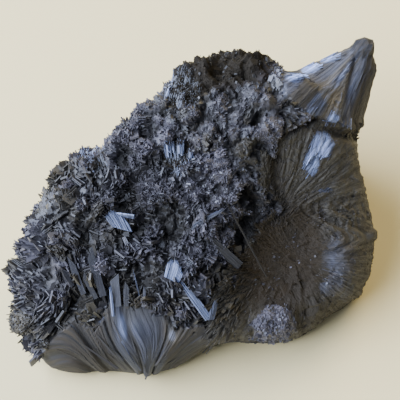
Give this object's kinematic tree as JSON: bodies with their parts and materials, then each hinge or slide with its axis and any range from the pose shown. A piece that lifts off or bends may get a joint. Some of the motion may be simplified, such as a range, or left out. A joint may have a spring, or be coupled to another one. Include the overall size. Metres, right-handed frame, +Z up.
{
  "type": "goethite specimen",
  "caption": "Hand-sized block of dark fibrous goethite with a crust of standing blades, a broken hollow showing radiating fibres and a striated horn, for display on a shelf or table.",
  "frame": {"origin": "centre of the footprint at the flat underside", "axes": "+Z up from the table, +X to the right along the block's longest side, -Y towards the front where the sloping crystal face looks out"},
  "size_m": [0.0962, 0.0816, 0.0557],
  "materials": {
    "goethite": "satin"
  },
  "bodies": {
    "root": {"goethite_specimen": "goethite"}
  },
  "joints": []
}
